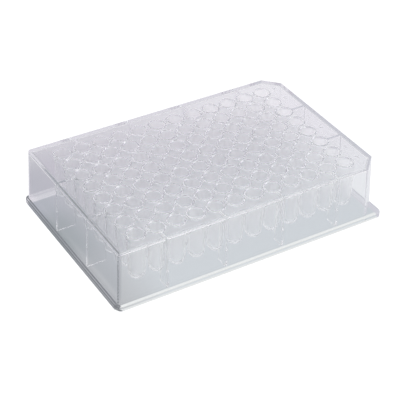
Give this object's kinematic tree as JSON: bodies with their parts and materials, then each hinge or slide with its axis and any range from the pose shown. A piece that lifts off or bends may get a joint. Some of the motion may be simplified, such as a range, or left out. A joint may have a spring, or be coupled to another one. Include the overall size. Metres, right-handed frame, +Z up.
{
  "type": "well plate",
  "caption": "Clear deep-well sample plate: a flanged, open-bottomed skirt under a flat deck, with a grid of round-bottomed wells hanging from the deck.",
  "frame": {"origin": "middle of the footprint, on the surface that the flange rests on", "axes": "+X along the rows of wells, towards the end with the two cut corners; +Y across the rows; +Z up, out of the wells' mouths"},
  "size_m": [0.1278, 0.0854, 0.0263],
  "materials": {
    "clear_plastic": "clear, glossy, as moulded polystyrene"
  },
  "bodies": {
    "root": {"well_plate": "clear_plastic"}
  },
  "joints": []
}
